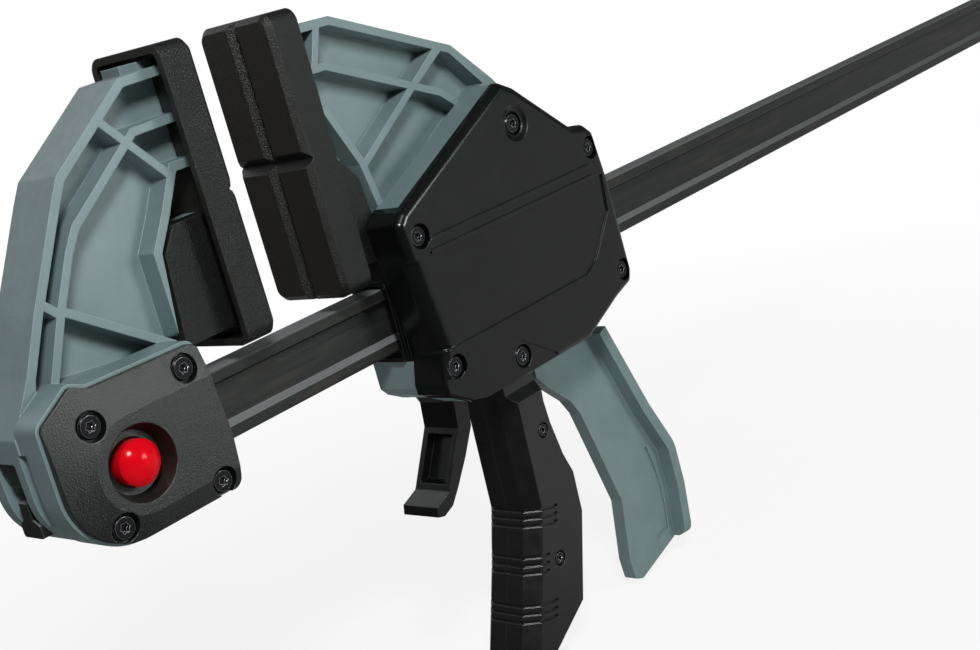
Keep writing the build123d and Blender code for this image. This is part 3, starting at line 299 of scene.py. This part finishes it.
def blackened_bar_steel(colours, sizes):
    """Hot-rolled steel, blackened and oiled: dark and streaked, browner where it is rubbed.

    The faces that look up are painted paler, a painted light from above, and the edges carry a painted
    highlight.
    """
    material = new_material("blackened_steel")
    normal, edge = rounded_edges_and_painted_highlight(material, 0.6 * sizes.edge_radius, share=0.5)
    streaks = in_millimetres(material, stretch=(80, 1, 1))
    scuffs = in_millimetres(material, stretch=(5, 1, 1))
    # The noise is mapped from below nothing, so that only its peaks are scuffed.
    scuff = add_node(material, "ShaderNodeMath", {"operation": "MAXIMUM"}, {
        0: spotted(material, scuffs, width=4, low=-0.5, high=0.4, detail=6.0), 1: 0.0})
    flat = add_node(material, "ShaderNodeNewGeometry")
    way = add_node(material, "ShaderNodeSeparateXYZ", links={"Vector": flat.outputs["True Normal"]})
    # Faces that look up are painted paler, a painted light from above.
    painted_light_from_above = add_node(material, "ShaderNodeMapRange", {"clamp": True}, {
        "Value": way.outputs["Z"], "From Min": 0.3, "From Max": 0.9, "To Max": 0.7})
    streak = spotted(material, streaks, width=sizes.mill_streak / MM, detail=5.0)
    coats = [
        (streak, shaded(colours.bar, times=1.25)),
        (scuff.outputs["Value"], shaded(colours.bar_scuff)),
        (painted_light_from_above.outputs["Result"], shaded(colours.bar_painted_light, times=0.9)),
        # The edges are painted pale, a painted highlight.
        (edge, shaded(colours.bar_painted_light)),
    ]
    return coated(material, shaded(colours.bar, times=0.75), coats, {
        "Metallic": 0.25,
        "Roughness": spotted(material, streaks, width=0.6, low=0.30, high=0.42),
        "Specular IOR Level": 0.35,
        "Normal": grained(material, streaks, normal, width=0.8, depth=0.02),
    })


def black_oxide_steel(colours, sizes):
    """Alloy steel screws, black oxide over a polished head: nearly black, with small sharp highlights, partly
    painted along the edges.
    """
    material = new_material("black_oxide_steel")
    place = in_millimetres(material)
    normal, edge = rounded_edges_and_painted_highlight(material, 0.55 * sizes.edge_radius, share=1.0)
    # The edges are painted sixty times as pale, a painted glint.
    return coated(material, shaded(colours.oxide), [(edge, shaded(colours.oxide, times=60.0))], {
        "Metallic": 0.6,
        "Roughness": spotted(material, place, width=0.8, low=0.18, high=0.3),
        "Normal": normal,
    })


def bright_steel(name, colour, mark_width):
    """Ground, turned or drawn steel: bright metal with fine tool marks, their width in millimetres."""
    material = new_material(name)
    place = in_millimetres(material, stretch=(1, 1, 8))
    rounded = add_node(material, "ShaderNodeBevel", BEVEL_RAYS, {"Radius": GROUND_EDGE})
    marks = spotted(material, place, mark_width, detail=4.0)
    return coated(material, shaded(colour, times=0.8), [(marks, shaded(colour, times=1.15))], {
        "Metallic": 1.0,
        "Roughness": spotted(material, place, mark_width, low=0.24, high=0.4),
        "Normal": grained(material, place, rounded.outputs["Normal"], width=mark_width, depth=0.01),
    })


def button_plastic(colours, sizes):
    """Red ABS from a polished mould: glossy, with the faintest orange peel."""
    material = new_material("glossy_red_abs")
    place = in_millimetres(material)
    rounded = add_node(material, "ShaderNodeBevel", BEVEL_RAYS, {"Radius": 0.5 * sizes.edge_radius})
    coats = [(spotted(material, place, width=5), shaded(colours.button, times=1.04))]
    return coated(material, shaded(colours.button, times=0.94), coats, {
        "Roughness": spotted(material, place, width=6, low=0.13, high=0.18),
        "IOR": 1.5,
        "Specular IOR Level": 0.13,
        "Normal": grained(material, place, rounded.outputs["Normal"], width=2.5, depth=0.02),
    })


# ------------------------------------------------------------------ operators
class CLAMP_OT_mouldings(bpy.types.Operator):
    """Finish the grey jaws, the housing and the lever"""

    bl_idname = "clamp.mouldings"
    bl_label = "Grey mouldings"

    def execute(self, context):
        scene = context.scene
        dress(("fixed_jaw", "head_casting", "squeeze_lever"),
              glass_filled_nylon(scene.clamp_colours, scene.clamp_sizes))
        return {"FINISHED"}


class CLAMP_OT_covers(bpy.types.Operator):
    """Finish the black covers, the bar guides and the trigger"""

    bl_idname = "clamp.covers"
    bl_label = "Covers"

    def execute(self, context):
        scene = context.scene
        dress(("head_cover", "rear_cover", "front_guide", "rear_guide", "release_trigger"),
              satin_cover_plastic(scene.clamp_colours, scene.clamp_sizes))
        dress(("button_cover",), spark_eroded_plastic(scene.clamp_colours, scene.clamp_sizes))
        return {"FINISHED"}


class CLAMP_OT_pads(bpy.types.Operator):
    """Finish the two jaw pads"""

    bl_idname = "clamp.pads"
    bl_label = "Jaw pads"

    def execute(self, context):
        scene = context.scene
        dress(("fixed_jaw_pad", "moving_jaw_pad"), pad_rubber(scene.clamp_colours, scene.clamp_sizes))
        return {"FINISHED"}


class CLAMP_OT_grip(bpy.types.Operator):
    """Finish the two halves of the grip"""

    bl_idname = "clamp.grip"
    bl_label = "Grip"

    def execute(self, context):
        scene = context.scene
        dress(("grip_front_half", "grip_rear_half"), grip_plastic(scene.clamp_colours, scene.clamp_sizes))
        return {"FINISHED"}


class CLAMP_OT_bar(bpy.types.Operator):
    """Finish the bar"""

    bl_idname = "clamp.bar"
    bl_label = "Bar"

    def execute(self, context):
        scene = context.scene
        dress(("bar",), blackened_bar_steel(scene.clamp_colours, scene.clamp_sizes))
        return {"FINISHED"}


class CLAMP_OT_hardware(bpy.types.Operator):
    """Finish the screws, pins, plates and springs"""

    bl_idname = "clamp.hardware"
    bl_label = "Screws and mechanism"

    def execute(self, context):
        colours = context.scene.clamp_colours
        dress(("button_cover_screws", "head_cover_screws", "rear_cover_screws", "grip_screws"),
              black_oxide_steel(colours, context.scene.clamp_sizes))
        dress(("bar_stop_pin", "lever_pivot_pin", "trigger_pivot_pin", "locking_plunger"),
              bright_steel("turned_steel", colours.pin, mark_width=0.3))
        dress(("drive_plates", "brake_plate"),
              bright_steel("ground_steel", colours.plate, mark_width=0.5))
        dress(("button_spring", "drive_spring", "trigger_spring"),
              bright_steel("spring_wire", colours.spring, mark_width=0.2))
        return {"FINISHED"}


class CLAMP_OT_button(bpy.types.Operator):
    """Finish the red release button"""

    bl_idname = "clamp.button"
    bl_label = "Release button"

    def execute(self, context):
        scene = context.scene
        dress(("release_button",), button_plastic(scene.clamp_colours, scene.clamp_sizes))
        return {"FINISHED"}


class CLAMP_OT_stage(bpy.types.Operator):
    """Set the floor, the lamps and the camera"""

    bl_idname = "clamp.stage"
    bl_label = "Studio"

    def execute(self, context):
        add_floor(context.scene)
        add_world(context.scene)
        add_lamps(context.scene)
        add_camera(context.scene)
        context.scene.view_settings.view_transform = "Standard"
        return {"FINISHED"}


# ------------------------------------------------------------------ studio
FLOOR_RADIUS = 6.0
FLOOR_SIDES = 64
FLOOR_DROP = 0.5 * MM
FLOOR_CENTRE = (0.1, 0.0)
SHADOW_REACH = (0.30, 0.75)         # seen paper turns plain white between these distances from the origin
LIT_PAPER = 0.86                    # how near to plain white the paper is right under the clamp
GLOW_REACH = (0.0, 0.2)             # the mirrored paper brightens between these places along the bar
MIRRORED_RIGHT = 0.45               # how white the paper is in reflections beyond them
MIRRORED = 0.06                     # how white the paper before them, and the air, are in reflections
AMBIENT = 0.04                      # how white the air is as a light


def studio_paper():
    """White background paper: dull where light falls on it, and nearly plain white where the camera sees it.

    Away from the clamp's shadow it is wholly white. In reflections it is dim on the left and bright on the
    right, as if lit from there.
    """
    material = new_material("studio_paper")
    place = add_node(material, "ShaderNodeTexCoord")
    distance = add_node(material, "ShaderNodeVectorMath", {"operation": "LENGTH"}, {
        0: place.outputs["Object"]})
    away = add_node(material, "ShaderNodeMapRange", {"clamp": True}, {
        "Value": distance.outputs["Value"], "From Min": SHADOW_REACH[0], "From Max": SHADOW_REACH[1],
        "To Min": LIT_PAPER})
    fibre = add_node(material, "ShaderNodeMix", {"data_type": "RGBA"}, {
        MIX_SHARE: spotted(material, in_millimetres(material), width=2.5),
        MIX_COLOURS[0]: shaded(linear("f1f1f0")), MIX_COLOURS[1]: shaded(linear("f6f6f5"))})
    paper = add_node(material, "ShaderNodeBsdfPrincipled", links={
        "Base Color": fibre.outputs[MIX_COLOUR_OUT], "Roughness": 0.9})
    path = add_node(material, "ShaderNodeLightPath")
    sideways = add_node(material, "ShaderNodeSeparateXYZ", links={"Vector": place.outputs["Object"]})
    glow = add_node(material, "ShaderNodeMapRange", {"clamp": True}, {
        "Value": sideways.outputs["X"], "From Min": GLOW_REACH[0], "From Max": GLOW_REACH[1],
        "To Min": MIRRORED, "To Max": MIRRORED_RIGHT})
    strength = add_node(material, "ShaderNodeMath", {"operation": "MAXIMUM"}, {
        0: path.outputs["Is Camera Ray"], 1: glow.outputs["Result"]})
    white = add_node(material, "ShaderNodeEmission", links={
        "Color": (1, 1, 1, 1), "Strength": strength.outputs["Value"]})
    shown = add_node(material, "ShaderNodeMath", {"operation": "MULTIPLY"}, {
        0: path.outputs["Is Camera Ray"], 1: away.outputs["Result"]})
    amount = add_node(material, "ShaderNodeMath", {"operation": "MAXIMUM"}, {
        0: shown.outputs["Value"], 1: path.outputs["Is Glossy Ray"]})
    mix = add_node(material, "ShaderNodeMixShader", links={
        0: amount.outputs["Value"], 1: paper.outputs["BSDF"], 2: white.outputs["Emission"]})
    add_node(material, "ShaderNodeOutputMaterial", links={"Surface": mix.outputs["Shader"]})
    return material


def add_floor(scene):
    """A round sheet of paper just under the clamp."""
    clamp_bottom = CAD_BOX[0][2]
    shape = bmesh.new()
    bmesh.ops.create_circle(shape, cap_ends=True, radius=FLOOR_RADIUS, segments=FLOOR_SIDES)
    bmesh.ops.translate(shape, verts=shape.verts, vec=(*FLOOR_CENTRE, clamp_bottom - FLOOR_DROP))
    mesh = bpy.data.meshes.new("floor")
    shape.to_mesh(mesh)
    shape.free()
    mesh.materials.append(studio_paper())
    floor = bpy.data.objects.new("floor", mesh)
    scene.collection.objects.link(floor)


def add_world(scene):
    """Even white air: plain white where the camera sees it, dim in reflections and as a light."""
    world = bpy.data.worlds.new("studio_air")
    world.use_nodes = True
    world.node_tree.nodes.clear()
    path = add_node(world, "ShaderNodeLightPath")
    mirrored = add_node(world, "ShaderNodeMath", {"operation": "MULTIPLY"}, {
        0: path.outputs["Is Glossy Ray"], 1: MIRRORED})
    seen = add_node(world, "ShaderNodeMath", {"operation": "MAXIMUM"}, {
        0: path.outputs["Is Camera Ray"], 1: mirrored.outputs["Value"]})
    strength = add_node(world, "ShaderNodeMapRange", {"clamp": True}, {
        "Value": seen.outputs["Value"], "To Min": AMBIENT, "To Max": 1.0})
    light = add_node(world, "ShaderNodeBackground", links={
        "Color": (1, 1, 1, 1), "Strength": strength.outputs["Result"]})
    add_node(world, "ShaderNodeOutputWorld", links={"Surface": light.outputs["Background"]})
    scene.world = world


LAMPS = {
    # name: (place, aim, width, height, watts, colour)
    "key": ((-0.26, -0.49, 0.45), (-0.03, 0.0, -0.02), 0.15, 0.15, 4.9, "ffffff"),
    "fill": ((0.47, -0.96, 0.13), (-0.03, 0.0, -0.06), 0.30, 0.24, 3.8, "f4fff9"),
    "back": ((0.00, 0.80, 0.37), (0.03, 0.0, -0.03), 0.90, 0.55, 1.3, "fafffe"),
}


def add_lamps(scene):
    """Soft boxes: the key high on the left, a low one on the right for the sheens, a wide one behind."""
    for name, (place, aim, width, height, watts, colour) in LAMPS.items():
        light = bpy.data.lights.new(name, "AREA")
        light.shape = "RECTANGLE"
        light.size = width
        light.size_y = height
        light.energy = watts
        light.color = linear(colour)
        lamp = bpy.data.objects.new(name, light)
        lamp.location = place
        lamp.rotation_euler = (Vector(aim) - Vector(place)).to_track_quat("-Z", "Y").to_euler()
        scene.collection.objects.link(lamp)


CAMERA_PLACE = (-0.2585, -0.3602, 0.0450)
CAMERA_HEADING = -45.142            # degrees from looking along +Y, and below 0 towards +X
CAMERA_TILT = 76.131                # degrees up from looking straight down
CAMERA_ROLL = -15.185               # degrees about the line of sight
CAMERA_REACH = (0.01, 50.0)
LENS = 53.53                        # millimetres, as the sensor's width
SENSOR_WIDTH = 36.0


def add_camera(scene):
    """The camera, close to the jaws and a little above the bar, rolled about its line of sight."""
    data = bpy.data.cameras.new("camera")
    data.sensor_fit = "HORIZONTAL"
    data.sensor_width = SENSOR_WIDTH
    data.lens = LENS
    data.clip_start, data.clip_end = CAMERA_REACH
    camera = bpy.data.objects.new("camera", data)
    turns = ((CAMERA_HEADING, "Z"), (CAMERA_TILT, "X"), (CAMERA_ROLL, "Z"))
    heading, tilt, roll = (Matrix.Rotation(radians(angle), 4, axis) for angle, axis in turns)
    camera.matrix_world = Matrix.Translation(CAMERA_PLACE) @ heading @ tilt @ roll
    scene.collection.objects.link(camera)
    scene.camera = camera


# ------------------------------------------------------------------ panel and running
PIECE_OPERATORS = (
    CLAMP_OT_mouldings,
    CLAMP_OT_covers,
    CLAMP_OT_pads,
    CLAMP_OT_grip,
    CLAMP_OT_bar,
    CLAMP_OT_hardware,
    CLAMP_OT_button,
    CLAMP_OT_stage,
)


class CLAMP_PT_sidebar(bpy.types.Panel):
    """Lists the clamp's pieces and its values"""

    bl_label = "Bar Clamp"
    bl_idname = "CLAMP_PT_sidebar"
    bl_space_type = "VIEW_3D"
    bl_region_type = "UI"
    bl_category = "Bar Clamp"

    def draw(self, context):
        for group in (context.scene.clamp_colours, context.scene.clamp_sizes):
            for name in group.__annotations__:
                self.layout.prop(group, name)
        for operator in PIECE_OPERATORS:
            self.layout.operator(operator.bl_idname)


CLASSES = (ClampColours, ClampSizes, *PIECE_OPERATORS, CLAMP_PT_sidebar)


def register():
    for item in CLASSES:
        bpy.utils.register_class(item)
    bpy.types.Scene.clamp_colours = PointerProperty(type=ClampColours)
    bpy.types.Scene.clamp_sizes = PointerProperty(type=ClampSizes)


def unregister():
    del bpy.types.Scene.clamp_sizes
    del bpy.types.Scene.clamp_colours
    for item in reversed(CLASSES):
        bpy.utils.unregister_class(item)


def main():
    """Registers the add-on and makes every piece."""
    register()
    for operator in PIECE_OPERATORS:
        family, name = operator.bl_idname.split(".")
        getattr(getattr(bpy.ops, family), name)()


if __name__ == "__main__":
    main()
